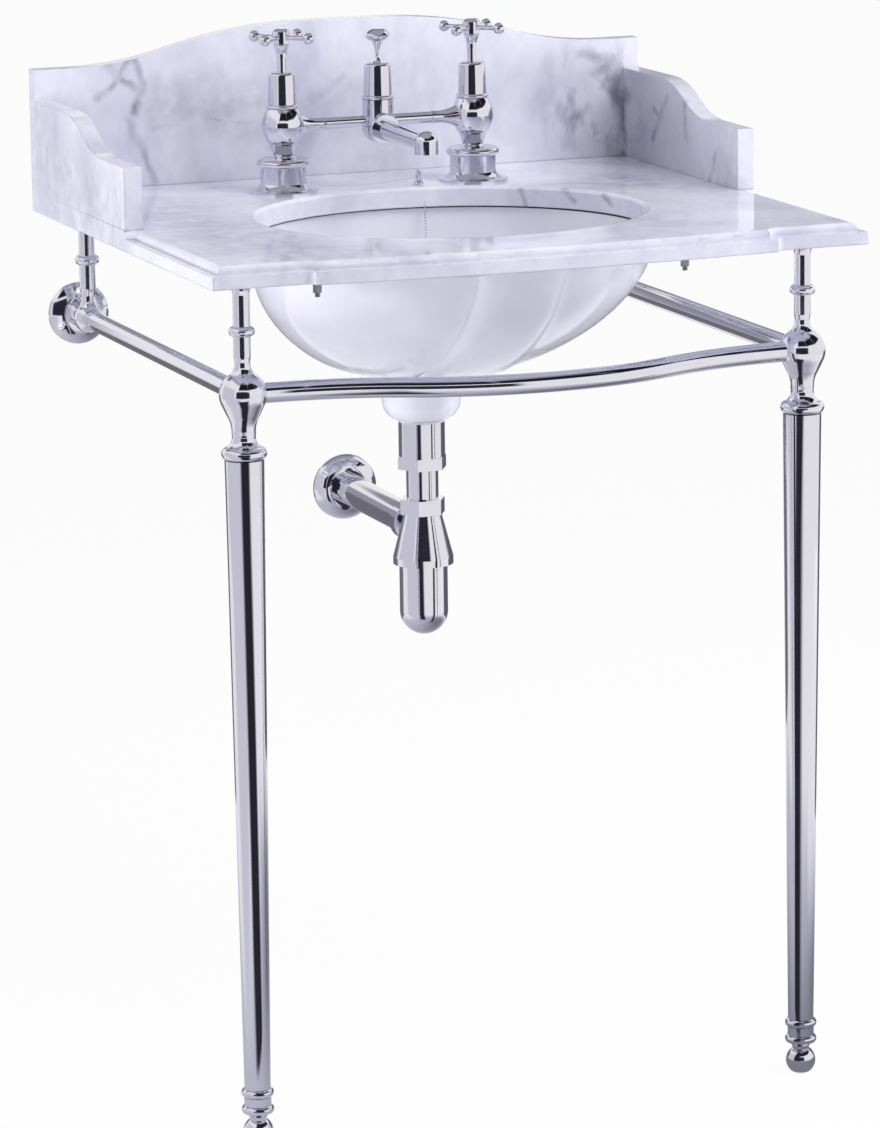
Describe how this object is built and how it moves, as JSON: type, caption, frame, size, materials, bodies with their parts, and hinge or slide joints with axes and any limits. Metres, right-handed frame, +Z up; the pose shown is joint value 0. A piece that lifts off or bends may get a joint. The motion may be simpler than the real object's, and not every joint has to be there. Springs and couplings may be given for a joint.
{
  "type": "washstand",
  "caption": "Marble-topped washstand with back splash and side returns, an undermounted oval bowl, a bridge mixer, a bottle trap and a chromed wall-fixed stand with turned legs.",
  "frame": {"origin": "on the floor, under the middle of the slab's width and depth", "axes": "+X to the user's right as they face the washstand, +Y back towards the wall, +Z up"},
  "size_m": [0.65, 0.585, 1.006],
  "materials": {
    "marble": "polished white marble with grey clouds and veins",
    "glazed_white": "white glaze",
    "chrome": "polished chrome",
    "plain_steel": "zinc plated",
    "brass": "machined brass",
    "black_rubber": "matt black rubber",
    "white_rubber": "pale seal rubber",
    "dark_plastic": "dark grey flow straightener"
  },
  "bodies": {
    "washstand": {"back_splash": "marble", "ball_chain": "chrome", "bowl_clips": "plain_steel", "bridge": "chrome", "ceramic_bowl": "glazed_white", "chain_stay": "chrome", "clip_bolts": "plain_steel", "finial": "chrome", "front_rail": "chrome", "left_base_flange": "chrome", "left_bonnet": "chrome", "left_foot": "chrome", "left_leg_top": "chrome", "left_leg_tube": "chrome", "left_rear_post": "chrome", "left_side_rail": "chrome", "left_side_return": "marble", "left_tap_body": "chrome", "left_valve": "brass", "left_wall_flange": "chrome", "marble_slab": "marble", "middle_bonnet": "chrome", "outlet_nut": "chrome", "outlet_pipe": "chrome", "right_base_flange": "chrome", "right_bonnet": "chrome", "right_foot": "chrome", "right_leg_top": "chrome", "right_leg_tube": "chrome", "right_rear_post": "chrome", "right_side_rail": "chrome", "right_side_return": "marble", "right_tap_body": "chrome", "right_valve": "brass", "right_wall_flange": "chrome", "rim_seal": "black_rubber", "spout": "chrome", "spout_nozzle": "dark_plastic", "tap_backnuts": "brass", "tap_washers": "black_rubber", "trap_body": "chrome", "trap_cup": "chrome", "trap_cup_seal": "white_rubber", "trap_inlet_nut": "chrome", "trap_inlet_tube": "chrome", "wall_escutcheon": "chrome", "waste_body": "chrome", "waste_collar": "chrome", "waste_gaskets": "white_rubber", "waste_tail_nut": "chrome"},
    "left_handle": {"left_cross_handle": "chrome", "left_spindle": "chrome"},
    "right_handle": {"right_cross_handle": "chrome", "right_spindle": "chrome"},
    "plug": {"plug_cap": "chrome", "plug_rubber": "black_rubber", "plug_ring": "chrome"}
  },
  "joints": [
    {"name": "left_handle_turn", "type": "hinge", "parent": "washstand", "child": "left_handle", "pos_m": [-0.1005, 0.1745, 0.998], "axis": [0, 0, 1], "range_deg": [0, 90]},
    {"name": "right_handle_turn", "type": "hinge", "parent": "washstand", "child": "right_handle", "pos_m": [0.1005, 0.1745, 0.998], "axis": [0, 0, 1], "range_deg": [-90, 0]},
    {"name": "plug_lift", "type": "slide", "parent": "washstand", "child": "plug", "axis": [0, 0, 1], "range_m": [0, 0.012]}
  ]
}
